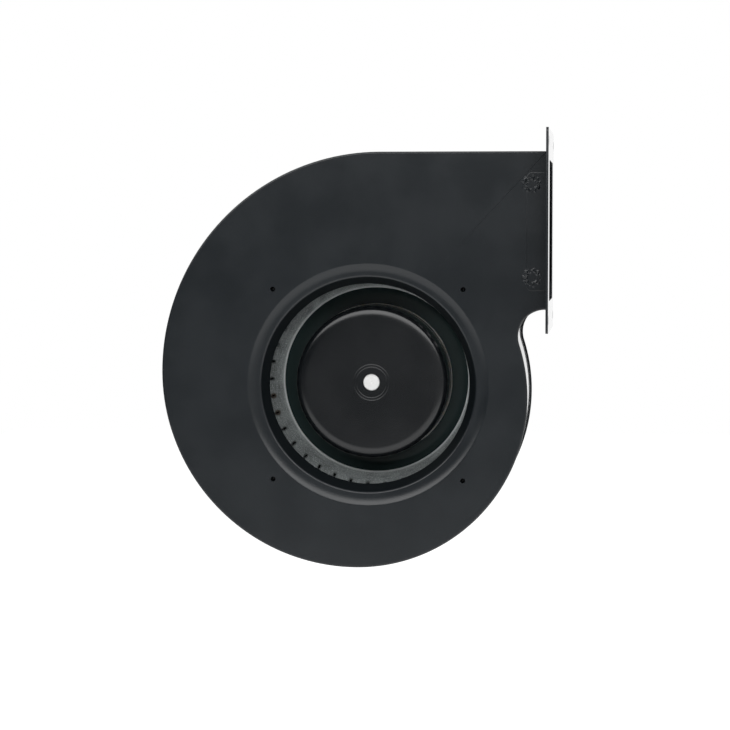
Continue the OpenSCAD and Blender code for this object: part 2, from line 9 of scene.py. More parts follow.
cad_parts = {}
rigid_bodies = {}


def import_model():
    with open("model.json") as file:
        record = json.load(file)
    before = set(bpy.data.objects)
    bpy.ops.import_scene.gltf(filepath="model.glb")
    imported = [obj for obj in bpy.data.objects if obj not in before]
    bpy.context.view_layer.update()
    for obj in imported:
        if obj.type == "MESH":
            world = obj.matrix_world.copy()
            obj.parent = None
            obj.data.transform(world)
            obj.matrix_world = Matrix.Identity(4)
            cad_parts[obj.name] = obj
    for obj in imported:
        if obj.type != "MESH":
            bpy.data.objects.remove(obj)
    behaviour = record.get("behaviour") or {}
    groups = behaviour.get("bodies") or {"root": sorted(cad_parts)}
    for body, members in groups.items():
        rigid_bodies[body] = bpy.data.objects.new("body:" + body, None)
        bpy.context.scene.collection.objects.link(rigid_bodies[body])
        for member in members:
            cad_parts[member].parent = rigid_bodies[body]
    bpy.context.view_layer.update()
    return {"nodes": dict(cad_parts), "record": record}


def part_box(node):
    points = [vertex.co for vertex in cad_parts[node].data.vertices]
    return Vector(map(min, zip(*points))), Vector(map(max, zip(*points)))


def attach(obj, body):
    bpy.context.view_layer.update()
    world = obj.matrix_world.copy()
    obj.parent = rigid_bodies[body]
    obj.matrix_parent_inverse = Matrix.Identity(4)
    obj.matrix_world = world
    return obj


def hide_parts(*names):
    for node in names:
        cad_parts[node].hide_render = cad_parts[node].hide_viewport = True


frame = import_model()
print("frame loaded:", len(frame["nodes"]), "nodes")

mm = 0.001
joinGap = 0.002 * mm      # vertices closer than this are one
smoothAngle = math.radians(32)
scene = bpy.context.scene


def leaveEdit():
    bpy.ops.object.mode_set(mode="OBJECT")


def selectAll():      # in edit mode
    bpy.ops.mesh.select_all(action="SELECT")


def clearSelection():
    if bpy.context.object and bpy.context.object.mode != "OBJECT":
        leaveEdit()
    bpy.ops.object.select_all(action="DESELECT")


def choose(piece):
    clearSelection()
    piece.select_set(True)
    bpy.context.view_layer.objects.active = piece


def editPiece(piece):
    choose(piece)
    bpy.ops.object.mode_set(mode="EDIT")


def startPiece(name):     # an empty mesh at the origin, left in edit mode
    clearSelection()
    bpy.ops.mesh.primitive_plane_add(size=mm)
    piece = bpy.context.object
    piece.name = name
    bpy.ops.object.mode_set(mode="EDIT")
    bpy.ops.mesh.delete(type="VERT")
    return piece


def pick(kind, test):     # in edit mode, selects what passes the test and nothing else
    bpy.ops.mesh.select_mode(type={"verts": "VERT", "edges": "EDGE", "faces": "FACE"}[kind])
    bpy.ops.mesh.select_all(action="DESELECT")
    mesh = bmesh.from_edit_mesh(bpy.context.object.data)
    for part in getattr(mesh, kind):
        if test(part):
            part.select_set(True)
    mesh.select_flush_mode()
    bmesh.update_edit_mesh(bpy.context.object.data)


def radial(point):      # distance from the motor axis
    return math.hypot(point.x, point.z)


def isSharp(edge, angle=1.2):
    return len(edge.link_faces) == 2 and edge.calc_face_angle(0) > angle


def drawPath(points, closed=False):     # a chain of edges, drawn one vertex at a time
    bpy.ops.mesh.select_mode(type="VERT")
    bpy.ops.mesh.primitive_plane_add(size=mm, location=points[0])
    bpy.ops.mesh.merge(type="CENTER")
    stops = list(points) + ([points[0]] if closed else [])
    for here, there in zip(stops, stops[1:]):
        bpy.ops.mesh.extrude_vertices_move(TRANSFORM_OT_translate={"value": Vector(there) - Vector(here)})


def joinDoubles():
    selectAll()
    bpy.ops.mesh.remove_doubles(threshold=joinGap)


def faceOutwards():
    selectAll()
    bpy.ops.mesh.normals_make_consistent(inside=False)


def spinPiece(name, profile, steps=192, closed=True):     # profile in radius and y, spun round the motor axis
    piece = startPiece(name)
    drawPath([(r, y, 0) for r, y in profile], closed)
    joinDoubles()
    selectAll()
    bpy.ops.mesh.spin(steps=steps, angle=math.tau, center=(0, 0, 0), axis=(0, 1, 0))
    joinDoubles()
    faceOutwards()
    leaveEdit()
    return piece


def sheetPiece(name, loops, move):      # a flat sheet: its outline and holes filled, then given its thickness
    piece = startPiece(name)
    for loop in loops:
        drawPath(loop, closed=True)
    joinDoubles()
    selectAll()
    bpy.ops.mesh.fill(use_beauty=True)
    selectAll()
    bpy.ops.mesh.extrude_region_move(TRANSFORM_OT_translate={"value": move})
    faceOutwards()
    leaveEdit()
    return piece


def useModifier(piece, kind, **settings):
    choose(piece)
    modifier = piece.modifiers.new(kind.lower(), kind)
    for key, value in settings.items():
        setattr(modifier, key, value)
    bpy.ops.object.modifier_apply(modifier=modifier.name)


def softenEdges(piece, width, segments=2, angle=35):
    useModifier(piece, "BEVEL", width=width, segments=segments, limit_method="ANGLE",
                angle_limit=math.radians(angle), use_clamp_overlap=True, loop_slide=False)


def flatBorders(piece, axis, width):   # a narrow flat border, so that flat faces shade flat
    editPiece(piece)
    for side in (-1, 1):
        pick("faces", lambda face: face.normal[axis] * side > 0.9999)
        bpy.ops.mesh.inset(thickness=width, use_boundary=True)
    leaveEdit()


def turnedCopies(piece, count):     # copies round the motor axis, joined to the first
    choose(piece)
    for i in range(1, count):
        copy = piece.copy()
        copy.data = piece.data.copy()
        scene.collection.objects.link(copy)
        copy.rotation_euler = (0, -math.tau * i / count, 0)
        copy.select_set(True)
    bpy.ops.object.transform_apply()
    bpy.ops.object.join()
    return piece


def joinInto(piece, others):
    clearSelection()
    for other in others:
        other.select_set(True)
    piece.select_set(True)
    bpy.context.view_layer.objects.active = piece
    bpy.ops.object.join()
    return piece


def softenedCopy(node, width=0.2 * mm):      # a CAD node's own shape with its edges broken
    choose(frame["nodes"][node])
    bpy.ops.object.duplicate()
    piece = bpy.context.object
    piece.parent = None
    piece.name = node + "_finished"
    bpy.ops.object.mode_set(mode="EDIT")
    selectAll()
    bpy.ops.mesh.remove_doubles(threshold=joinGap)
    bpy.ops.mesh.dissolve_limited(angle_limit=math.radians(1))
    leaveEdit()
    softenEdges(piece, width)
    return piece


def finishPiece(piece, body, slot, node, *coatings):
    choose(piece)
    bpy.ops.object.transform_apply()
    bpy.ops.object.shade_smooth_by_angle(angle=smoothAngle)
    piece.data.materials.clear()
    for coating in coatings or [finishes[slot]]:
        piece.data.materials.append(coating)
    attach(piece, body)
    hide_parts(node)
    print(piece.name + ":", len(piece.data.polygons), "faces")


def arcPoints(centre, radius, start, end, step=2.0):      # points in X and Z, angles in degrees
    count = max(2, math.ceil(abs(end - start) / step))
    angles = [math.radians(start + (end - start) * i / count) for i in range(count + 1)]
    return [(centre[0] + radius * math.cos(a), centre[1] + radius * math.sin(a)) for a in angles]


def circlePoints(centre, radius, count):
    return arcPoints(centre, radius, 0, 360, 360 / count)[:-1]


def around(count, start, radius):      # places round the motor axis
    return [(radius * math.cos(a), radius * math.sin(a))
            for a in (math.radians(start + 360 * i / count) for i in range(count))]


def smoothStep(start, end, count=12):       # flat along the radius at both ends
    points = []
    for i in range(count + 1):
        s = i / count
        lift = (1 - math.cos(math.pi * s)) / 2
        points.append((start[0] + (end[0] - start[0]) * s, start[1] + (end[1] - start[1]) * lift))
    return points


def thickened(face, thick):     # closed profile of a sheet whose one face follows the points
    back = []
    for i, point in enumerate(face):
        before, after = face[max(i - 1, 0)], face[min(i + 1, len(face) - 1)]
        run = Vector((after[0] - before[0], after[1] - before[1])).normalized()
        back.append((point[0] + run[1] * thick, point[1] - run[0] * thick))
    return face + back[::-1]


plateLow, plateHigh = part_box("front_side_plate")
rearLow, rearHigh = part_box("rear_side_plate")
flangeLow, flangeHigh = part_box("outlet_flange")
canLow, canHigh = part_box("rotor_can")
discLow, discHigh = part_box("support_disc")
shaftLow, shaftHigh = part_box("shaft")
frontRingLow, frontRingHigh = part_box("impeller_front_ring")
rearRingLow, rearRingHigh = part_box("impeller_rear_ring")
motorPlateLow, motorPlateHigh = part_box("motor_mount_plate")
capLow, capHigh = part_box("bearing_cap")
grommetLow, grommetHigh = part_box("cable_grommet")

sheetThick = rearHigh.y - rearLow.y
depth = rearHigh.y
impellerRadius = frontRingHigh.x

scroll = {
    "flangeRise": 13.5 * mm,      # from the duct to the flange's edge
    "tongueRadius": 16 * mm,
    "ductRun": 0.7 * mm,          # from the tongue to the flange
    "rimLip": 1 * mm,             # side plates stand proud of the band
    "bandThick": 1 * mm,
    "hem": 3 * mm,
    "rimRoll": 1 * mm,            # the side plates' rims, outside and inside
    "rimBreak": 0.15 * mm,
}
scroll["step"] = plateLow.z - plateLow.x
scroll["radius"] = -plateLow.z - scroll["step"] / 2
scroll["ductTop"] = plateHigh.z
scroll["ductBottom"] = flangeLow.z + scroll["flangeRise"]
scroll["end"] = plateHigh.x


def scrollOutline(inset=0.0, step=2.0):     # from the flange's foot round under the tongue to its top
    half = scroll["step"] / 2
    tongue = (scroll["end"] - scroll["ductRun"], scroll["ductBottom"] - scroll["tongueRadius"])
    lean = math.degrees(math.atan2(tongue[1] + half, tongue[0] + half))
    points = [(scroll["end"], scroll["ductBottom"] + inset)]
    points += arcPoints(tongue, scroll["tongueRadius"] + inset, 90, 180 + lean, 4)
    points += arcPoints((-half, -half), scroll["radius"] - inset, lean, -90, step)[1:]
    points += arcPoints((-half, half), scroll["radius"] + scroll["step"] - inset, -90, -180, step)[1:]
    points += arcPoints((half, half), scroll["radius"] + 2 * scroll["step"] - inset, 180, 90, step)[1:]
    points.append((scroll["end"], scroll["ductTop"] - inset))
    return points


def standing(points, y):     # a drawing in X and Z, stood at y
    return [(x, y, z) for x, z in points]


class Wire:     # a socket that sums and products can be written with
    def __init__(self, kit, socket):
        self.kit = kit
        self.socket = socket


def wireMath(operation, turned):
    def result(wire, other):
        return wire.kit.math(operation, *((other, wire) if turned else (wire, other)))
    return result


for name, operation in (("add", "ADD"), ("sub", "SUBTRACT"), ("mul", "MULTIPLY"), ("truediv", "DIVIDE"),
                        ("pow", "POWER")):
    setattr(Wire, "__" + name + "__", wireMath(operation, False))
    setattr(Wire, "__r" + name + "__", wireMath(operation, True))


class Shop:     # builds nodes in one tree
    def __init__(self, tree):
        self.tree = tree

    def feed(self, socket, value):
        if isinstance(value, Wire):
            self.tree.links.new(value.socket, socket)
        else:
            socket.default_value = value

    def node(self, kind, settings=None, inputs=None, output=0):
        made = self.tree.nodes.new(kind)
        for key, value in (settings or {}).items():
            setattr(made, key, value)
        for key, value in (inputs or {}).items():
            self.feed(made.inputs[key], value)
        return Wire(self, made.outputs[output])

    def math(self, operation, *values):
        return self.node("ShaderNodeMath", {"operation": operation}, dict(enumerate(values)))

    def limit(self, value):      # to 0 and 1
        return self.node("ShaderNodeClamp", None, {0: value})

    def remap(self, value, low, high):      # from 0 at low to 1 at high
        return self.node("ShaderNodeMapRange", {"clamp": True, "interpolation_type": "SMOOTHSTEP"},
                         {0: value, 1: low, 2: high})

    def waves(self, along, pitch):
        return self.math("SINE", along * (math.tau / pitch)) * 0.5 + 0.5

    def place(self):      # Object coordinates
        return self.node("ShaderNodeTexCoord", output="Object")

    def parts(self, vector):      # x, y and z of a vector
        made = self.tree.nodes.new("ShaderNodeSeparateXYZ")
        self.feed(made.inputs[0], vector)
        return [Wire(self, made.outputs[i]) for i in range(3)]

    def noise(self, size, detail=3.0, roughness=0.5, vector=None):
        return self.node("ShaderNodeTexNoise", None, {
            "Vector": vector or self.place(), "Scale": 1 / size, "Detail": detail, "Roughness": roughness})

    def cells(self, size):
        return self.node("ShaderNodeTexVoronoi", None, {"Vector": self.place(), "Scale": 1 / size})

    def blend(self, factor, first, second):
        return self.node("ShaderNodeMix", {"data_type": "RGBA"}, {0: factor, 6: first, 7: second}, output=2)

    def polar(self):      # radius and angle round the motor axis
        x, y, z = self.parts(self.place())
        return self.math("SQRT", x * x + z * z), self.math("ARCTAN2", z, x)


class Finish(Shop):
    def __init__(self, name, **fixed):
        self.material = bpy.data.materials.new(name)
        self.material.use_nodes = True
        super().__init__(self.material.node_tree)
        self.shader = self.tree.nodes["Principled BSDF"]
        for key, value in fixed.items():
            self.shader.inputs[key.replace("_", " ")].default_value = value

    def set(self, **wires):
        for key, value in wires.items():
            self.feed(self.shader.inputs[key.replace("_", " ")], value)

    def bump(self, height, strength, distance):
        self.set(Normal=self.node("ShaderNodeBump", None, {
            "Height": height, "Strength": strength, "Distance": distance}))

    def worn(self, factor, first, second, roughness, *relief):      # a mix of two tones, with its relief
        self.set(Base_Color=self.blend(self.limit(factor), first, second), Roughness=self.limit(roughness))
        self.bump(*relief)
        return self.material


def colour(r, g, b, share=1.0):
    return (r * share, g * share, b * share, 1.0)


paint = {
    "dark": colour(0.0036, 0.0056, 0.0074),
    "light": colour(0.0050, 0.0074, 0.0096),
    "peelSize": 0.9 * mm,         # orange peel of the powder coat
    "roughness": 0.3,
}


def paintedSteel(name, dark, light, roughness, peel=0.22, **fixed):
    f = Finish(name, **fixed)
    cloud = f.remap(f.noise(38 * mm, 3), 0.35, 0.65)
    speck = f.noise(0.35 * mm, 1)
    grain = f.noise(paint["peelSize"], 2)
    return f.worn(cloud * 0.55 + speck * 0.5 - 0.05, dark, light,
                  roughness - 0.04 + cloud * 0.05 + speck * 0.06, grain + speck * 0.35, peel, 0.06 * mm)


zinc = {
    "tone": (0.34, 0.37, 0.37),
    "grainPitch": 0.4 * mm,       # rolling lines run round the disc
    "innerEdge": 57 * mm,
    "slots": 38,
    "slotRadius": 65.2 * mm,
    "markedSlots": (20, 21),      # brown where the welds burnt the zinc
    "markSize": 2.6 * mm,
}


def galvanised(name):     # rolled zinc skin, fine lines round the disc, painted shade at the blade slots and a painted highlight along the inner edge
    z = zinc
    f = Finish(name)
    radius, angle = f.polar()
    x, y, depthAt = f.parts(f.place())
    ring = f.node("ShaderNodeCombineXYZ", None, {0: radius / z["grainPitch"], 1: angle * 7, 2: y / (4 * mm)})
    grain = f.noise(1.0, 4, 0.65, ring)
    speckle = f.noise(0.8 * mm, 2, 0.75)
    frost = f.remap(speckle, 0.54, 0.7)
    dull = f.remap(f.noise(9 * mm, 3), 0.35, 0.7)
    # painted highlight and painted light: the colour turns bright along the sheared inner edge and lighter
    # over the 5 mm beyond it
    edge = 1 - f.remap(radius, z["innerEdge"] + 0.4 * mm, z["innerEdge"] + 1.6 * mm)
    near = 1 - f.remap(radius, z["innerEdge"], z["innerEdge"] + 5 * mm)
    shade = f.limit(grain * 1.1 + speckle * 0.6 + near * 0.25 + frost * 0.5 - dull * 0.2 - 0.52)
    # painted shade: dark colour along each blade's line where it meets its slot
    slotLine = f.remap(f.math("COSINE", angle * z["slots"]), 0.55, 1.0)
    atSlot = f.remap(f.math("ABSOLUTE", radius - z["slotRadius"]), 2.4 * mm, 0.4 * mm)
    slotShade = f.limit(slotLine * atSlot * (0.35 + speckle))
    skin = f.blend(shade, colour(*z["tone"], 0.42), colour(*z["tone"], 1.7))
    base = f.blend(slotShade, skin, colour(0.03, 0.036, 0.036))
    base = f.blend(edge * 0.8, base, colour(0.85, 0.88, 0.88))      # sheared edge, with a painted highlight in its colour
    for slot in z["markedSlots"]:
        turn = math.tau * slot / z["slots"]
        dx, dz = x - z["slotRadius"] * math.cos(turn), depthAt - z["slotRadius"] * math.sin(turn)
        burnt = 1 - f.remap(f.math("SQRT", dx * dx + dz * dz), 0.3 * z["markSize"], z["markSize"])
        base = f.blend(f.limit(burnt * (0.45 + speckle * 0.8)), base, colour(0.075, 0.05, 0.03))
    f.set(Base_Color=base, Metallic=f.limit(0.5 - dull * 0.2),
          Roughness=f.limit(0.36 + dull * 0.12 + speckle * 0.14))
    f.bump(grain * 0.7 + speckle * 0.7, 0.3, 0.05 * mm)
    return f.material


def machined(name, tone, roughness, pitch, metal=1.0):     # turned, with rings left by the tool
    f = Finish(name, Metallic=metal)
    radius, angle = f.polar()
    rings, haze = f.waves(radius, pitch), f.noise(1.4 * mm, 3)
    return f.worn(rings * 0.4 + haze * 0.6, colour(*tone, 0.86), colour(*tone),
                  roughness + haze * 0.12 - 0.04, rings * 0.3 + haze * 0.5, 0.2, 0.03 * mm)


def plated(name, tone, roughness):      # bright zinc with faint iridescent clouds
    f = Finish(name, Metallic=1.0)
    cloud = f.noise(2.2 * mm, 3)
    warm = colour(tone[0] * 1.05, tone[1] * 0.98, tone[2] * 0.86)
    return f.worn(f.remap(cloud, 0.35, 0.7), colour(*tone), warm,
                  roughness + cloud * 0.15 - 0.05, f.noise(0.3 * mm, 2), 0.12, 0.03 * mm)


def castMetal(name, tone):
    f = Finish(name, Metallic=1.0)
    skin, stain = f.noise(0.8 * mm, 4, 0.6), f.remap(f.noise(14 * mm, 3), 0.35, 0.7)
    return f.worn(stain * 0.6 + skin * 0.3, colour(*tone), colour(*tone, 0.7),
                  0.38 + skin * 0.25, skin, 0.5, 0.08 * mm)


def moulded(name, tone, roughness, grainSize=0.3 * mm):
    f = Finish(name)
    grain, drift = f.noise(grainSize, 2), f.noise(9 * mm, 2)
    pale = colour(*[min(1, c * 1.25 + 0.004) for c in tone])
    return f.worn(f.remap(drift, 0.3, 0.7), colour(*tone), pale,
                  roughness + grain * 0.12 - 0.06, grain, 0.3, 0.03 * mm)


def laminated(name):      # edges of stacked sheets
    f = Finish(name, Metallic=0.9)
    x, y, z = f.parts(f.place())
    layers, stain = f.waves(y, 0.5 * mm), f.noise(3 * mm, 3)
    return f.worn(layers * 0.6 + stain * 0.5, colour(0.08, 0.085, 0.09), colour(0.3, 0.31, 0.32),
                  0.4 + stain * 0.2, layers, 0.6, 0.1 * mm)


def wound(name):      # enamelled wire
    f = Finish(name, Metallic=0.85)
    x, y, z = f.parts(f.place())
    turns, tint = f.waves(y, 0.6 * mm), f.noise(2 * mm, 2)
    return f.worn(turns * 0.7 + tint * 0.3, colour(0.16, 0.05, 0.015), colour(0.62, 0.24, 0.08),
                  0.28 + tint * 0.15, turns, 0.8, 0.2 * mm)


def circuitBoard(name):
    f = Finish(name)
    tracks = f.remap(f.cells(3 * mm), 0.25, 0.3)
    return f.worn(tracks, colour(0.015, 0.09, 0.035), colour(0.03, 0.15, 0.06), 0.35, tracks, 0.3, 0.05 * mm)


finishes = {
    "painted_steel": paintedSteel("sheet paint", paint["dark"], paint["light"], paint["roughness"],
                                  Specular_IOR_Level=0.4),
    "rotor_paint": paintedSteel("rotor paint", colour(0.0042, 0.0052, 0.0062), colour(0.0058, 0.0068, 0.0080),
                                0.2, peel=0.05, Specular_IOR_Level=0.42),
    "galvanised_steel": galvanised("galvanised sheet"),
    "shaft_steel": machined("ground steel", (0.88, 0.88, 0.87), 0.34, 0.5 * mm, metal=0.6),
    "bearing_steel": machined("bearing steel", (0.62, 0.63, 0.64), 0.18, 0.8 * mm),
    "zinc_steel": plated("zinc plate", (0.62, 0.63, 0.64), 0.3),
    "spring_steel": plated("spring steel", (0.2, 0.2, 0.21), 0.35),
    "cast_aluminium": castMetal("cast aluminium", (0.55, 0.56, 0.57)),
    "lamination_steel": laminated("laminations"),
    "magnet": moulded("ferrite", (0.045, 0.045, 0.05), 0.5),
    "copper_wire": wound("copper wire"),
    "insulator_plastic": moulded("natural nylon", (0.6, 0.55, 0.44), 0.45),
    "board": circuitBoard("circuit board"),
    "black_plastic": moulded("black plastic", (0.012, 0.012, 0.013), 0.4),
    "capacitor_ceramic": moulded("ceramic", (0.42, 0.27, 0.12), 0.5),
    "white_plastic": moulded("white nylon", (0.68, 0.66, 0.6), 0.4),
    "black_rubber": moulded("rubber", (0.012, 0.012, 0.012), 0.62, 0.2 * mm),
    "cage_polyamide": moulded("brown polyamide", (0.16, 0.1, 0.05), 0.5),
}


def bandEnamel():      # as the sheets, and glossy where it is seen along its surface
    material = paintedSteel("band enamel", paint["dark"], paint["light"], 0.33, peel=0.06,
                            Coat_Roughness=0.03, Specular_IOR_Level=0.4)
    shop = Shop(material.node_tree)
    facing = shop.node("ShaderNodeLayerWeight", None, {"Blend": 0.5}, output="Facing")
    shader = material.node_tree.nodes["Principled BSDF"]
    shop.feed(shader.inputs["Coat Weight"], shop.remap(facing, 0.84, 0.98))
    return material


coats = {      # other coats of paint
    # painted light: a lighter, greenish copy of the rotor's black paint for its shaded wall and brim
    "brim": paintedSteel("brim enamel painted light", colour(0.028, 0.044, 0.044), colour(0.035, 0.053, 0.053), 0.14,
                         peel=0.02, Specular_IOR_Level=0.2),
    "throat": paintedSteel("throat painted shade", colour(0.0024, 0.0038, 0.0046), colour(0.0032, 0.0048, 0.0058),
                           0.4, Specular_IOR_Level=0.12),      # darker and duller than the sheets: painted shade inside the throat
    "wall": bandEnamel(),
}
for subpart in frame["record"]["subparts"]:      # every CAD node gets its finish, replaced or not
    node = frame["nodes"][subpart["node"]]
    for index in range(len(node.material_slots)):
        node.material_slots[index].material = finishes[subpart["material_slot"]]
print("finishes made:", len(finishes) + len(coats))


nozzle = {
    "dishRadius": 72.9 * mm,
    "edge": 1.6 * mm,
    # the sheet sinks towards the throat: each bend is its radius and the tilt in degrees that it ends at
    "bends": [(2.8 * mm, 25), (12.6 * mm, 3), (1.5 * mm, 68)],
    "ledge": 1.4 * mm,              # nearly flat, ahead of the last bend
    "throatRadius": 60.4 * mm,
    "throatRound": 1.5 * mm,
    "throatWide": 4.6 * mm,         # the darker, duller coat of painted shade starts here, behind the last bend
    "throatDeep": 2.5 * mm,
    "guardRadius": 57.1 * mm,       # half the pitch of the guard screw holes
    "guardHole": 1.5 * mm,
    "collarDepth": 5.6 * mm,
    "collarWall": 0.5 * mm,
}


def sunkBend(points, radius, before, after, count=9):      # inwards along the radius, tilted towards +y
    r, y = points[-1]
    for i in range(1, count + 1):
        start, end = math.radians(before), math.radians(before + (after - before) * i / count)
        points.append((r - radius * abs(math.sin(end) - math.sin(start)),
                       y + radius * abs(math.cos(end) - math.cos(start))))


guardPlaces = [(x * nozzle["guardRadius"], z * nozzle["guardRadius"]) for x in (-1, 1) for z in (-1, 1)]


def nozzleFace():
    n = nozzle
    face = [(n["dishRadius"] + n["edge"], 0), (n["dishRadius"] + n["edge"] / 2, 0), (n["dishRadius"], 0)]
    tilt = 0
    for radius, after in n["bends"]:
        if after > tilt > 0:      # the ledge runs on at the tilt that the dish ends at
            r, y = face[-1]
            face.append((r - n["ledge"], y + n["ledge"] * math.tan(math.radians(tilt))))
        sunkBend(face, radius, tilt, after)
        tilt = after
    face += [(n["throatRadius"] + n["throatRound"] * 0.3, plateHigh.y - n["throatRound"]),
             (n["throatRadius"] + n["throatRound"] * 0.08, plateHigh.y - n["throatRound"] / 2),
             (n["throatRadius"], plateHigh.y)]
    return face


def wallUp(points):      # a standing wall from y 0 to the sheet's thickness
    drawPath(standing(points, 0), closed=True)
    bpy.ops.mesh.select_linked()
    bpy.ops.mesh.extrude_region_move(TRANSFORM_OT_translate={"value": (0, sheetThick, 0)})


def beyond(edge, radius, y):      # in the plane y, outside a circle
    return all(abs(v.co.y - y) < joinGap and radial(v.co) > radius - joinGap for v in edge.verts)


def roundRim(outside, inside, inner=impellerRadius + 5 * mm):      # up to the flange's foot
    foot = scroll["end"] - scroll["ductRun"] - joinGap
    for y, width in ((outside, scroll["rimRoll"]), (inside, scroll["rimBreak"])):
        pick("edges", lambda edge: beyond(edge, inner, y) and isSharp(edge, 1.0)
             and min(v.co.x for v in edge.verts) < foot)
        bpy.ops.mesh.bevel(offset=width, segments=5, profile=0.5, loop_slide=False, clamp_overlap=False)


def trimFoot(piece):      # nothing of a side plate stands past the duct's end or its walls
    for v in piece.data.vertices:
        if v.co.x > scroll["end"] - scroll["ductRun"]:
            v.co.x = min(v.co.x, scroll["end"])
            v.co.z = min(max(v.co.z, scroll["ductBottom"]), scroll["ductTop"])


def buildFrontPlate():
    n = nozzle
    rim = n["dishRadius"] + n["edge"]
    piece = spinPiece("front_plate_sheet", thickened(nozzleFace(), sheetThick), closed=False)
    editPiece(piece)
    wallUp(scrollOutline())
    for place in guardPlaces:
        wallUp(circlePoints(place, n["guardHole"], 32))
    joinDoubles()
    for y in (0, sheetThick):      # both faces of the flat sheet, round the nozzle and the guard holes
        pick("edges", lambda edge: edge.is_boundary and beyond(edge, rim, y))
        bpy.ops.mesh.fill(use_beauty=True)
    faceOutwards()
    roundRim(0, sheetThick)
    flatBorders(piece, 1, 0.2 * mm)
    trimFoot(piece)
    return piece


weld = {
    "marks": [(97.6 * mm, 119.4 * mm, 3.9 * mm), (97.9 * mm, 64.3 * mm, 4.1 * mm)],
    "pimples": [(100.5 * mm, 102 * mm), (101.2 * mm, 88.5 * mm)],
    "beadWidth": 1.3 * mm,
    "beadHeight": 0.55 * mm,
    "foot": 0.3 * mm,             # sunk into the sheet
    "padLow": (94.6 * mm, 56.5 * mm),
    "padHigh": (106.9 * mm, 126.5 * mm),
    "padRise": 0.12 * mm,         # the flange's tab shows through the sheet
}


def buildWeldMark(x, z, radius):      # an uneven raised ring of spatter with pits in it
    w = weld
    reach = radius + 1.8 * w["beadWidth"]
    profile = [(0, w["foot"]), (reach, w["foot"]), (reach, 0)]
    profile += [(reach * (1 - i / 20), 0) for i in range(1, 21)]
    piece = spinPiece("weld_mark", profile, 72, closed=False)
    for v in piece.data.vertices:
        r = radial(v.co)
        if v.co.y > joinGap or r > reach - joinGap:
            continue
        place = Vector((v.co.x + x, 0, v.co.z + z)) / (1.6 * mm)
        rough = noise.fractal(place, 0.8, 2.0, 3)
        ring = math.exp(-((r - radius) / w["beadWidth"]) ** 2)
        v.co.y = -w["beadHeight"] * ring * max(-0.45, 0.4 + 1.8 * rough) - 0.02 * mm
    piece.location = (x, 0, z)
    return piece


def buildPimple(x, z):      # small round print of a spot weld
    profile = ((0, 0.2), (1.6, 0.2), (1.6, 0), (1.2, -0.05), (0.8, -0.03), (0, -0.02))
    piece = spinPiece("spot_print", [(r * mm, y * mm) for r, y in profile], 32, closed=False)
    piece.location = (x, 0, z)
    return piece


def buildGuardCollar(x, z):      # closed behind, so that no guard screw reaches the impeller
    hole, wall, back = nozzle["guardHole"] - 0.05 * mm, nozzle["collarWall"], nozzle["collarDepth"]
    foot = sheetThick / 3
    profile = [(0, back - wall / 2), (hole, back - wall - hole), (hole, foot), (hole + wall, foot),
               (hole + wall, back - wall / 2), (hole + wall / 2, back), (0, back)]
    piece = spinPiece("guard_collar", profile, 32, closed=False)
    piece.location = (x, 0, z)
    return piece


def buildTabPrint():
    w = weld
    low, high = w["padLow"], w["padHigh"]
    loop = [(low[0], low[1] + 2 * mm), (low[0] + 2 * mm, low[1]), (high[0], low[1]), (high[0], high[1]),
            (low[0] + 2 * mm, high[1]), (low[0], high[1] - 2 * mm)]
    piece = sheetPiece("tab_print", [standing(loop, -w["padRise"])], (0, w["padRise"] + w["foot"], 0))
    softenEdges(piece, 0.11 * mm, 2)
    flatBorders(piece, 1, 0.3 * mm)
    return piece


frontPlate = buildFrontPlate()
marks = [buildWeldMark(*mark) for mark in weld["marks"]]
marks += [buildPimple(*spot) for spot in weld["pimples"]] + [buildTabPrint()]
joinInto(frontPlate, marks + [buildGuardCollar(x, z) for x, z in guardPlaces])
finishPiece(frontPlate, "housing", "painted_steel", "front_side_plate",
            finishes["painted_steel"], coats["throat"])
# the throat's faces take the darker coat, painted shade
for face in frontPlate.data.polygons:
    reach = radial(face.center)
    inThroatShade = reach < nozzle["throatRadius"] + nozzle["throatWide"] and face.center.y > nozzle["throatDeep"]
    face.material_index = 1 if inThroatShade else 0


rearSheet = {
    "opening": 83 * mm,
    "screwCircle": 87.5 * mm,
    "screwCount": 6,
    "screwStart": 30,             # degrees
    "screwHole": 2.1 * mm,
    "rimInner": 92.2 * mm,        # the outline lies outside this
}
plateScrewPlaces = around(rearSheet["screwCount"], rearSheet["screwStart"], rearSheet["screwCircle"])


def buildRearPlate():
    r = rearSheet
    loops = [scrollOutline(), circlePoints((0, 0), r["opening"], 192)]
    loops += [circlePoints(place, r["screwHole"], 24) for place in plateScrewPlaces]
    piece = sheetPiece("rear_plate_sheet", [standing(loop, rearLow.y) for loop in loops], (0, sheetThick, 0))
    editPiece(piece)
    roundRim(rearHigh.y, rearLow.y, r["rimInner"])
    flatBorders(piece, 1, 0.2 * mm)
    trimFoot(piece)
    return piece


finishPiece(buildRearPlate(), "housing", "painted_steel", "rear_side_plate")


def rounded(point):
    return tuple(round(c / (0.01 * mm)) for c in point)


def buildBand():
    s = scroll
    piece = startPiece("scroll_band_sheet")
    low, high = sheetThick, depth - sheetThick
    inner, outer = s["rimLip"] + s["hem"], s["rimLip"]
    section = [(inner, low), (outer, low), (outer, high), (inner, high)]      # a channel, open to the inside
    chains = [standing(scrollOutline(inset), y) for inset, y in section]
    for chain in chains:
        drawPath(chain)
    for first, second in zip(chains, chains[1:]):
        ends = {rounded(point) for point in first + second}
        pick("verts", lambda v: rounded(v.co) in ends)
        bpy.ops.mesh.select_mode(type="EDGE")
        bpy.ops.mesh.bridge_edge_loops()
    faceOutwards()
    leaveEdit()
    useModifier(piece, "SOLIDIFY", thickness=s["bandThick"], offset=-1, use_even_offset=True)
    return piece


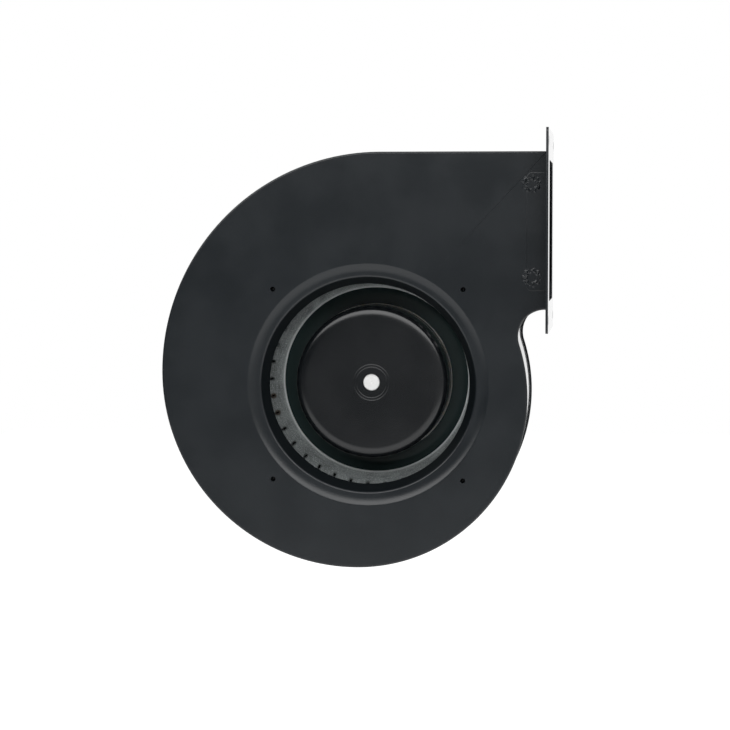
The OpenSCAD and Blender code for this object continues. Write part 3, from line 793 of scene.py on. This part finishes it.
finishPiece(buildBand(), "housing", "painted_steel", "scroll_band", coats["wall"])


flange = {
    "lip": 3 * mm,                # covers the duct's top and bottom walls
    "cornerRadius": 2.5 * mm,
    "openingCorner": 2 * mm,
    "holeEdge": 7.5 * mm,
    "holeRadius": 2.75 * mm,
    "tabLength": 12 * mm,
    "tabHeight": 67 * mm,
    "tabCorner": 3 * mm,
}


def roundedBox(low, high, radius):      # drawn in two axes, anticlockwise
    across, up = ((low[i] + radius, high[i] - radius) for i in (0, 1))
    points = []
    for start, i, j in ((0, 1, 1), (90, 0, 1), (180, 0, 0), (270, 1, 0)):
        points += arcPoints((across[i], up[j]), radius, start, start + 90, 15)
    return points


def buildFlange():
    f = flange
    thick = flangeHigh.x - scroll["end"]
    inset = scroll["rimLip"] + scroll["bandThick"] + f["lip"]
    opening = ((sheetThick + thick, scroll["ductBottom"] + inset),
               (depth - sheetThick - thick, scroll["ductTop"] - inset))
    loops = [roundedBox((flangeLow.y, flangeLow.z), (flangeHigh.y, flangeHigh.z), f["cornerRadius"]),
             roundedBox(opening[0], opening[1], f["openingCorner"])]
    for y in (flangeLow.y + f["holeEdge"], flangeHigh.y - f["holeEdge"]):
        for z in (flangeLow.z + f["holeEdge"], flangeHigh.z - f["holeEdge"]):
            loops.append(circlePoints((y, z), f["holeRadius"], 40))
    piece = sheetPiece("outlet_flange_sheet", [[(scroll["end"], y, z) for y, z in loop] for loop in loops],
                       (thick, 0, 0))
    softenEdges(piece, 0.25 * mm, 3)
    flatBorders(piece, 0, 0.15 * mm)
    middle = (scroll["ductTop"] + scroll["ductBottom"]) / 2
    tabs = []
    for y in (sheetThick, depth - sheetThick - thick):      # spot-welded tabs inside the side plates
        tab = roundedBox((scroll["end"] - f["tabLength"], middle - f["tabHeight"] / 2),
                         (scroll["end"] + thick / 2, middle + f["tabHeight"] / 2), f["tabCorner"])
        tabs.append(sheetPiece("flange_tab", [standing(tab, y)], (0, thick, 0)))
    return joinInto(piece, tabs)


finishPiece(buildFlange(), "housing", "painted_steel", "outlet_flange", coats["wall"])


motorPlate = {
    "beadOut": 76 * mm,
    "beadIn": 48 * mm,
    "beadHeight": 3 * mm,
    "flank": 4 * mm,
    "centre": 18.1 * mm,
    "thick": 2 * mm,
    "motorCircle": 33 * mm,
    "motorScrews": 4,
    "motorStart": 45,             # degrees
    "screwHole": 2.1 * mm,
    "grommetHole": 3.8 * mm,
}
motorScrewPlaces = around(motorPlate["motorScrews"], motorPlate["motorStart"], motorPlate["motorCircle"])
plateBack = motorPlateLow.y + motorPlate["thick"]


def cutHoles(piece, places, low, high):      # places are x, z and radius
    clearSelection()
    for x, z, radius in places:
        bpy.ops.mesh.primitive_cylinder_add(vertices=32, radius=radius, depth=high - low,
                                            location=(x, (low + high) / 2, z), rotation=(math.pi / 2, 0, 0))
        cutter = bpy.context.object
        useModifier(piece, "BOOLEAN", operation="DIFFERENCE", object=cutter, solver="EXACT")
        bpy.data.objects.remove(cutter, do_unlink=True)


def buildMotorPlate():
    m = motorPlate
    seat, rim = motorPlateLow.y, motorPlateHigh.x
    face = [(rim, seat), (rim - 0.5 * mm, seat), (m["beadOut"] + 0.5 * mm, seat)]
    face += smoothStep((m["beadOut"], seat), (m["beadOut"] - m["flank"], seat + m["beadHeight"]))
    face += smoothStep((m["beadIn"] + m["flank"], seat + m["beadHeight"]), (m["beadIn"], seat))
    face += [(m["beadIn"] - 0.5 * mm, seat), (m["centre"] + 0.5 * mm, seat), (m["centre"], seat)]
    piece = spinPiece("motor_plate_sheet", thickened(face, m["thick"]))
    editPiece(piece)
    pick("edges", isSharp)
    bpy.ops.mesh.bevel(offset=0.35 * mm, segments=3, loop_slide=False)
    leaveEdit()
    holes = [(x, z, m["screwHole"]) for x, z in plateScrewPlaces + motorScrewPlaces]
    middle = (grommetLow + grommetHigh) / 2
    holes.append((middle.x, middle.z, m["grommetHole"]))
    cutHoles(piece, holes, seat - 1 * mm, plateBack + 1 * mm)
    return piece


finishPiece(buildMotorPlate(), "housing", "painted_steel", "motor_mount_plate")

screw = {
    "washer": 4.3 * mm,
    "washerHeight": 0.8 * mm,
    "hex": 3.8 * mm,
    "hexHeight": 2.4 * mm,
    "shank": 1.99 * mm,
    "pitch": 0.7 * mm,
    "threadDepth": 0.25 * mm,
}


def buildScrew(name, length, x, y, z):      # head on the plate's face at y, shank towards the rotor
    k = screw
    profile = [(0, -length), (k["shank"] - 0.6 * mm, -length)]
    turn = -length + 0.5 * mm
    while turn < -2 * k["pitch"]:
        profile += [(k["shank"] - k["threadDepth"], turn), (k["shank"], turn + k["pitch"] / 2)]
        turn += k["pitch"]
    shank, washer, seat = k["shank"], k["washer"], k["washerHeight"]
    profile += [(shank, -0.2 * mm), (shank, 0), (washer - 0.2 * mm, 0), (washer, 0.2 * mm),
                (washer, seat - 0.25 * mm), (washer - 0.25 * mm, seat), (0, seat)]
    body = spinPiece(name, profile, 48, closed=False)
    clearSelection()
    top = k["washerHeight"] + k["hexHeight"]
    tall = k["hexHeight"] + 0.2 * mm      # its foot is sunk into the washer
    bpy.ops.mesh.primitive_cylinder_add(vertices=6, radius=k["hex"], depth=tall,
                                        location=(0, top - tall / 2, 0), rotation=(-math.pi / 2, 0, 0))
    head = bpy.context.object
    bpy.ops.object.transform_apply()
    bpy.ops.object.mode_set(mode="EDIT")
    pick("faces", lambda face: face.normal.y > 0.99)
    bpy.ops.mesh.inset(thickness=0.45 * mm, depth=0)
    pick("verts", lambda v: v.co.y > top - joinGap and radial(v.co) > k["hex"] - 0.1 * mm)
    bpy.ops.transform.translate(value=(0, -0.35 * mm, 0))
    pick("faces", lambda face: face.normal.y > 0.99)
    bpy.ops.mesh.inset(thickness=0.5 * mm, depth=-0.25 * mm)
    leaveEdit()
    softenEdges(head, 0.12 * mm, 2, 20)
    joinInto(body, [head])
    body.location = (x, y, z)
    bpy.ops.object.transform_apply()
    return body


def screwSet(node, places):      # one screw and its copies round the motor axis
    x, z = places[0]
    piece = buildScrew(node + "_set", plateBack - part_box(node)[0].y, x, plateBack, z)
    turnedCopies(piece, len(places))
    finishPiece(piece, "housing", "zinc_steel", node)


screwSet("plate_screws", plateScrewPlaces)
screwSet("motor_screws", motorScrewPlaces)

capShape = {
    "chamfer": 0.3 * mm,
    "edgeRound": 0.5 * mm,
    "rim": 2 * mm,                # flat, round the dish
    "dishDepth": 0.6 * mm,
    "gateRadius": 1.4 * mm,       # mark left by the moulding in the middle
    "gateDepth": 0.9 * mm,
}


def buildCap():      # plastic cap over the rear bearing, with a shallow dish
    c = capShape
    radius, low, high = capHigh.x, capLow.y, capHigh.y
    dish, gate, bowl = high - c["dishDepth"], high - c["gateDepth"], radius - c["rim"]
    profile = [(0, low), (radius - c["chamfer"], low), (radius, low + c["chamfer"]),
               (radius, high - c["edgeRound"]), (radius - 0.15 * mm, high - 0.15 * mm),
               (radius - c["edgeRound"], high), (bowl, high), (bowl - 0.4 * mm, high - 0.1 * mm),
               (bowl - 0.8 * mm, dish + 0.1 * mm), (bowl - 1.2 * mm, dish), (c["gateRadius"], dish),
               (c["gateRadius"] - 0.3 * mm, gate), (0, gate)]
    return spinPiece("bearing_cap_moulding", profile, 96, closed=False)


finishPiece(buildCap(), "housing", "black_plastic", "bearing_cap")


grommetShape = {"bore": 2.5 * mm, "neck": 3.79 * mm, "lip": 4.99 * mm}


def buildGrommet():      # rubber grommet with a rounded collar
    middle = (grommetLow + grommetHigh) / 2
    bore, neck, lip = (grommetShape[key] for key in ("bore", "neck", "lip"))
    front, seat, back, tail = grommetLow.y, motorPlateLow.y, plateBack, grommetHigh.y
    profile = [(bore, front + 0.3 * mm), (bore + 0.3 * mm, front), (lip - 0.4 * mm, front),
               (lip, front + 0.4 * mm), (lip, seat - 0.1 * mm), (lip - 0.1 * mm, seat), (neck, seat),
               (neck, back), (lip - 0.1 * mm, back), (lip, back + 0.2 * mm),
               (lip - 0.1 * mm, back + 0.9 * mm),
               (neck + 0.75 * mm, tail - 0.7 * mm), (neck + 0.4 * mm, tail - 0.2 * mm), (neck, tail),
               (bore + 0.4 * mm, tail), (bore, tail - 0.4 * mm)]
    piece = spinPiece("cable_grommet_moulding", profile, 64)
    piece.location = (middle.x, 0, middle.z)
    return piece


finishPiece(buildGrommet(), "housing", "black_rubber", "cable_grommet")

finishPiece(softenedCopy("stator_flange", 0.25 * mm), "housing", "cast_aluminium", "stator_flange")


rotor = {
    "radius": 46.3 * mm,
    "flat": 39.4 * mm,            # the face falls away beyond this
    "crown": (13 * mm, 20),       # radius, and the tilt it ends at, ahead of the tight corner
    "wall": 1.5 * mm,
    "wallStart": 6 * mm,          # the wall's glossier enamel, painted lighter as light, starts here, from the face
    "brimDepth": 32.7 * mm,       # from the face to the brim
    "brimBead": 0.5 * mm,         # bright rolled bead where the wall meets the brim
    "collarLength": 10 * mm,
    "collarWall": 2 * mm,
    "grooves": (9.35 * mm, 10.9 * mm),
    "grooveWidth": 0.24 * mm,
    "grooveDepth": 0.08 * mm,
}


def buildRotorCan():
    r = rotor
    face, bore = canLow.y, shaftHigh.x + 0.01 * mm
    brim = face + r["brimDepth"]
    front = [(bore, face + 0.4 * mm), (bore + 0.4 * mm, face), (bore + 1.2 * mm, face)]
    for groove in r["grooves"]:      # turned rings round the collar
        w, d = r["grooveWidth"], r["grooveDepth"]
        for out, sunk in ((-w - 0.15 * mm, 0), (-w, 0), (-w / 2, 0.7), (0, 1), (w / 2, 0.7), (w, 0),
                          (w + 0.15 * mm, 0)):
            front.append((groove + out, face + d * sunk))
    front += [(groove + 4 * mm, face), (r["flat"] - 3 * mm, face)]
    crown, tilt = r["crown"]
    lean = math.radians(tilt)
    shoulder = r["flat"] + crown * math.sin(lean)
    corner = (r["radius"] - shoulder) / (1 - math.sin(lean))
    dropped = face + crown * (1 - math.cos(lean))
    cornerAt = (r["radius"] - corner, dropped + corner * math.cos(lean))
    front += arcPoints((r["flat"], face + crown), crown, -90, -90 + tilt, 2)
    front += arcPoints(cornerAt, corner, -90 + tilt, 0, 7)[1:]
    bead = r["brimBead"]
    front += arcPoints((r["radius"] + bead, brim - bead * 0.3), bead, -165, 0, 15)
    front += [(r["radius"] + 2 * bead + 0.1 * mm, brim), (r["radius"] + 2 * mm, brim),
              (canHigh.x - 0.5 * mm, brim), (canHigh.x - 0.15 * mm, brim + 0.15 * mm),
              (canHigh.x, brim + 0.5 * mm)]
    inner = r["radius"] - r["wall"]
    back = [(canHigh.x, brim + r["wall"]), (inner + 0.5 * mm, brim + r["wall"]),
            (inner, brim + r["wall"] - 0.5 * mm)]
    back += arcPoints(cornerAt, corner - r["wall"], 0, -90 + tilt, 15)
    back += arcPoints((r["flat"], face + crown), crown - r["wall"], -90 + tilt, -90, 5)[1:]
    back += [(bore + r["collarWall"] + 0.5 * mm, face + r["wall"]), (bore + r["collarWall"], face + 2 * mm),
             (bore + r["collarWall"], face + r["collarLength"]), (bore, face + r["collarLength"])]
    return spinPiece("rotor_can_shell", front + back)


can = buildRotorCan()
finishPiece(can, "rotor", "rotor_paint", "rotor_can",
            finishes["rotor_paint"], coats["brim"], finishes["zinc_steel"])
wallStart = canLow.y + rotor["wallStart"]
beadAt = (rotor["radius"] + rotor["brimBead"], canLow.y + rotor["brimDepth"] - 0.3 * rotor["brimBead"])
for face in can.data.polygons:      # the wall and the brim carry the glossier enamel, painted lighter as light, the bead is bare
    reach = radial(face.center)
    fromBead = math.hypot(reach - beadAt[0], face.center.y - beadAt[1])
    onBead = fromBead < rotor["brimBead"] * 1.02 and face.center.y < beadAt[1] + 0.1 * mm
    face.material_index = 2 if onBead else 1 if face.center.y > wallStart else 0


shaftShape = {
    "chamfer": 0.4 * mm,
    "centreDepth": 1.3 * mm,      # centre drilling in the front end
    "centreRadius": 0.62 * mm,
    "grooveDepth": 0.5 * mm,
}


def buildShaft():
    radius, low, high = shaftHigh.x, shaftLow.y, shaftHigh.y
    chamfer, centre = shaftShape["chamfer"], shaftShape["centreRadius"]
    floor = radius - shaftShape["grooveDepth"]
    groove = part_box("shaft_circlip")
    profile = [(0, low + shaftShape["centreDepth"]), (centre - 0.12 * mm, low + 0.1 * mm), (centre, low),
               (radius - 0.9 * mm, low), (radius - chamfer, low), (radius, low + chamfer),
               (radius, groove[0].y), (floor, groove[0].y), (floor, groove[1].y), (radius, groove[1].y),
               (radius, high - chamfer), (radius - chamfer, high), (0.7 * mm, high), (0, high - 0.5 * mm)]
    return spinPiece("shaft_ground", profile, 96, closed=False)


finishPiece(buildShaft(), "rotor", "shaft_steel", "shaft")


blade = {
    "count": zinc["slots"],
    "thick": 0.5 * mm,
    "curve": 16 * mm,
    "inner": 66 * mm,
    "outer": 79.3 * mm,
    "slotInner": zinc["slotRadius"],      # the disc's slots start ahead of the blades, at a round relief
    "slotGap": 0.25 * mm,
    "relief": 0.85 * mm,
}


def bladeLine(inner, outer, offset=0.0, count=10):      # from the eye outwards, its tip leaning clockwise
    b = blade
    centre, radius = (b["inner"], -b["curve"]), b["curve"] + offset
    low, high = 0.0, math.radians(80)
    for _ in range(40):      # angle at which the curve reaches the outer radius
        middle = (low + high) / 2
        reach = math.hypot(centre[0] + radius * math.sin(middle), centre[1] + radius * math.cos(middle))
        low, high = (middle, high) if reach < outer else (low, middle)
    points = []
    if inner < b["inner"]:
        points.append((inner, centre[1] + radius))
    for i in range(count + 1):
        a = high * i / count
        points.append((centre[0] + radius * math.sin(a), centre[1] + radius * math.cos(a)))
    return points


def bladeOutline(inner, outer, half, count=10):
    return bladeLine(inner, outer, half, count) + bladeLine(inner, outer, -half, count)[::-1]


def turnedPoints(points, angle):
    c, s = math.cos(angle), math.sin(angle)
    return [(x * c - z * s, x * s + z * c) for x, z in points]


def buildBlades():
    b = blade
    low, high = frontRingLow.y + 0.6 * mm, rearRingHigh.y - 0.6 * mm
    outline = bladeOutline(b["inner"], b["outer"], b["thick"] / 2)
    piece = sheetPiece("impeller_blades_set", [standing(outline, low)], (0, high - low, 0))
    return turnedCopies(piece, b["count"])


finishPiece(buildBlades(), "rotor", "galvanised_steel", "impeller_blades")


def slotOutline():
    b = blade
    half = b["thick"] / 2 + b["slotGap"]
    mouth = math.degrees(math.asin(half / b["relief"]))
    start = b["slotInner"] + b["relief"] * math.cos(math.radians(mouth)) + 0.01 * mm
    relief = arcPoints((b["slotInner"], 0), b["relief"], 360 - mouth, mouth, 24)
    return bladeOutline(start, b["outer"], half, 6) + relief


def buildDisc():
    b = blade
    eye, slot = zinc["innerEdge"], slotOutline()
    loops = [circlePoints((0, 0), discHigh.x, 192), circlePoints((0, 0), eye, 192)]
    loops += [turnedPoints(slot, math.tau * i / b["count"]) for i in range(b["count"])]
    piece = sheetPiece("support_disc_sheet", [standing(loop, discLow.y) for loop in loops],
                       (0, discHigh.y - discLow.y, 0))
    editPiece(piece)
    pick("edges", lambda edge: isSharp(edge) and all(radial(v.co) < eye + 0.1 * mm for v in edge.verts))
    bpy.ops.mesh.bevel(offset=0.3 * mm, segments=3, loop_slide=False)
    flatBorders(piece, 1, 0.08 * mm)
    return piece


finishPiece(buildDisc(), "rotor", "galvanised_steel", "support_disc")


ring = {"eye": 65.3 * mm, "thick": 0.6 * mm, "round": 0.5 * mm}


def buildRing(name, web, lips):      # a channel, its lips running from the web towards the blades
    eye, thick, soft = ring["eye"], ring["thick"], ring["round"]
    towards = 1 if lips > web else -1
    out = frontRingHigh.x
    corner = soft * towards
    turns = [math.radians(22.5 * i) for i in range(5)]
    profile = [(eye, lips), (eye, web + corner)]
    profile += [(eye + soft * (1 - math.cos(a)), web + corner * (1 - math.sin(a))) for a in turns[1:]]
    profile += [(out - soft * (1 - math.sin(a)), web + corner * (1 - math.cos(a))) for a in turns]
    profile += [(out, lips), (out - thick, lips), (out - thick, web + thick * towards),
                (eye + thick, web + thick * towards), (eye + thick, lips)]
    return spinPiece(name, profile)


for node, web, lips in (("impeller_front_ring", frontRingLow.y, frontRingHigh.y),
                        ("impeller_rear_ring", rearRingHigh.y, rearRingLow.y)):
    finishPiece(buildRing(node + "_sheet", web, lips), "rotor", "galvanised_steel", node)


studio = {
    "front": 0.36,                # the room behind the camera is dark, and darker to the left
    "frontFall": 3.0,
    "back": 1.0,
    "left": 0.03,
    "right": 0.55,
    "up": 0.9,
    "down": 0.5,
    "floorDrop": 250 * mm,
    "floorLow": (-1.2, -1.55),    # the pale table ends under the camera
    "floorHigh": (2.6, 4.0),
    "floorGlow": 0.5,
}


def seenWhite(shop):      # 1 where the camera, a mirror or a glass looks at the surroundings
    rays = [shop.node("ShaderNodeLightPath", output=name)
            for name in ("Is Camera Ray", "Is Glossy Ray", "Is Transmission Ray")]
    return rays[0], shop.limit(rays[1] + rays[2])


def lightWorld():
    s = studio
    world = bpy.data.worlds.new("studio")
    scene.world = world
    world.use_nodes = True
    shop = Shop(world.node_tree)
    background = world.node_tree.nodes["Background"]
    x, y, z = shop.parts(shop.node("ShaderNodeTexCoord", output="Generated"))

    def towards(axis, sign):
        return shop.math("MAXIMUM", axis * sign, 0.0) ** 2.0

    glow = towards(y, -1) * shop.limit(x * s["frontFall"] + 1) * s["front"]
    for side, axis, sign in (("back", y, 1), ("left", x, -1), ("right", x, 1), ("up", z, 1), ("down", z, -1)):
        glow = glow + towards(axis, sign) * s[side]
    camera, mirrored = seenWhite(shop)
    white = shop.limit(camera + mirrored * shop.remap(y, 0.2, 0.7))      # the backdrop, behind the object
    shop.feed(background.inputs["Strength"], glow * (1 - white) + white)
    background.inputs["Color"].default_value = colour(1, 1, 1)


lamps = {
    "top softbox": {"location": (-0.2, -1.25, 0.85), "size": (3.0, 0.75), "radiance": 4.2},
    "right softbox": {"location": (1.3, -0.7, 0.5), "size": (0.5, 0.9), "radiance": 1.2},
}
lampAim = Vector((0, 0.04, 0))      # the middle of the rotor


def addLamp(name, location, size, radiance):
    clearSelection()
    bpy.ops.object.light_add(type="AREA", location=location)
    lamp = bpy.context.object
    lamp.name = name
    lamp.data.shape = "RECTANGLE"
    lamp.data.size, lamp.data.size_y = size
    lamp.data.energy = radiance * math.pi * size[0] * size[1]
    lamp.rotation_euler = (lampAim - Vector(location)).to_track_quat("-Z", "Y").to_euler()
    lamp.visible_camera = False


def addFloor():
    s = studio
    clearSelection()
    low, high = Vector(s["floorLow"]), Vector(s["floorHigh"])
    bpy.ops.mesh.primitive_plane_add(size=1, location=(*(low + high) / 2, plateLow.z - s["floorDrop"]))
    floor = bpy.context.object
    floor.name = "floor"
    floor.scale = (*(high - low), 1)
    shop = Finish("pale floor", Roughness=0.9, Specular_IOR_Level=0.0, Emission_Strength=1.0)
    shop.shader.inputs["Base Color"].default_value = colour(0.86, 0.86, 0.86)
    camera, mirrored = seenWhite(shop)
    pale = colour(1, 1, 1, s["floorGlow"])
    shop.set(Emission_Color=shop.blend(shop.limit(camera + mirrored), colour(0, 0, 0), pale))
    floor.data.materials.append(shop.material)


view = {
    "location": (0.1456, -1.458, 0.0925),
    "aim": (-0.0015, 0.0, 0.0119),
    "lens": 121.07,
    "sensor": 36,
    "near": 0.01,
}


def addCamera():
    clearSelection()
    bpy.ops.object.camera_add(location=view["location"])
    camera = bpy.context.object
    sight = Vector(view["aim"]) - Vector(view["location"])
    camera.rotation_euler = sight.to_track_quat("-Z", "Y").to_euler()
    camera.data.lens = view["lens"]
    camera.data.sensor_width = view["sensor"]
    camera.data.clip_start = view["near"]
    scene.camera = camera


lightWorld()
for name, lamp in lamps.items():
    addLamp(name, **lamp)
addFloor()
addCamera()
scene.view_settings.view_transform = "Standard"
print("studio ready")
